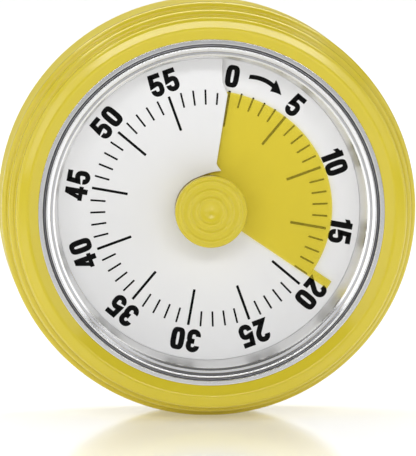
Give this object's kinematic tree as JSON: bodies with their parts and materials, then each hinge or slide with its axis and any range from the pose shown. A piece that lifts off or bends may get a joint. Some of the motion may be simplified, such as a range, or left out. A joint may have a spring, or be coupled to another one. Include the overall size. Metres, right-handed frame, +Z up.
{
  "type": "kitchen timer",
  "caption": "Round wind-up sixty-minute timer: stepped case, metal ring, slit dial with a coloured film that threads through it, centre knob, bell and magnetic back.",
  "frame": {"origin": "middle of the foot, the narrow flat along the bottom of the case's rim, taken under the middle of the whole depth", "axes": "+Z up, -Y the way the dial faces, +X to the reader's right"},
  "size_m": [0.08, 0.03, 0.0799],
  "materials": {
    "case_plastic": "glossy moulded ABS",
    "cover_plastic": "fine spark texture",
    "knob_plastic": "glossy moulded ABS",
    "bezel_metal": "polished",
    "dial_plastic": "satin, printed",
    "seat_plastic": "moulded",
    "film": "satin film",
    "magnet": "nickel plated",
    "screw_steel": "zinc plated",
    "bell_steel": "drawn sheet",
    "plate_steel": "blanked sheet",
    "spring_steel": "blued",
    "arbor_steel": "turned",
    "brass": "blanked"
  },
  "bodies": {
    "case": {"front_shell": "case_plastic", "bezel_ring": "bezel_metal", "dial_plate": "dial_plastic", "dial_seat": "seat_plastic", "rear_cover": "cover_plastic", "magnets": "magnet", "cover_screws": "screw_steel", "bell": "bell_steel", "bell_screw": "screw_steel", "front_plate": "plate_steel", "rear_plate": "plate_steel", "plate_pillars": "plate_steel", "plate_screws": "screw_steel", "movement_screws": "screw_steel", "main_spring": "spring_steel", "spring_post": "plate_steel"},
    "winder": {"knob": "knob_plastic", "winding_arbor": "arbor_steel", "great_wheel": "brass", "clutch_spring": "spring_steel", "clutch_washer": "plate_steel", "trip_cam": "brass"},
    "time_disc": {"time_film": "film", "film_collar": "knob_plastic"},
    "second_wheel_set": {"second_wheel": "brass", "second_arbor": "arbor_steel"},
    "third_wheel_set": {"third_wheel": "brass", "third_arbor": "arbor_steel"},
    "escape_wheel_set": {"escape_wheel": "brass", "escape_arbor": "arbor_steel"},
    "balance": {"verge": "plate_steel", "balance_wheel": "brass", "balance_staff": "arbor_steel"},
    "hammer": {"hammer_arm": "plate_steel", "hammer_head": "plate_steel", "hammer_finger": "plate_steel", "hammer_pin": "arbor_steel"}
  },
  "joints": [
    {"name": "knob_turn", "type": "hinge", "parent": "case", "child": "winder", "pos_m": [0, -0.0122, 0.03989], "axis": [0, 1, 0], "range_deg": [-114, 246]},
    {"name": "film_climb", "type": "slide", "parent": "winder", "child": "time_disc", "axis": [0, -1, 0], "range_m": [-0.0004, 0.00084]},
    {"name": "second_wheel_turn", "type": "hinge", "parent": "case", "child": "second_wheel_set", "pos_m": [0, 0.0037, 0.02299], "axis": [0, 1, 0], "range_deg": [-1482, 690]},
    {"name": "third_wheel_turn", "type": "hinge", "parent": "case", "child": "third_wheel_set", "pos_m": [0.01307, 0.0037, 0.02827], "axis": [0, 1, 0], "range_deg": [-4110, 8862]},
    {"name": "escape_wheel_turn", "type": "hinge", "parent": "case", "child": "escape_wheel_set", "pos_m": [0.01767, 0.0037, 0.03859], "axis": [0, 1, 0], "range_deg": [-53142, 24630]},
    {"name": "balance_swing", "type": "hinge", "parent": "case", "child": "balance", "pos_m": [0.016, 0.0037, 0.04529], "axis": [0, 1, 0], "range_deg": [-5, 5]},
    {"name": "hammer_swing", "type": "hinge", "parent": "case", "child": "hammer", "pos_m": [-0.01756, 0.0037, 0.05065], "axis": [0, -1, 0], "range_deg": [-1.8, 12], "stiffness_Nm_per_rad": 0.003}
  ],
  "couplings": [
    {"joint": "film_climb", "follows": "knob_turn", "m_per_rad": 0.00019099},
    {"joint": "second_wheel_turn", "follows": "knob_turn", "ratio": -6},
    {"joint": "third_wheel_turn", "follows": "knob_turn", "ratio": 36},
    {"joint": "escape_wheel_turn", "follows": "knob_turn", "ratio": -216}
  ]
}
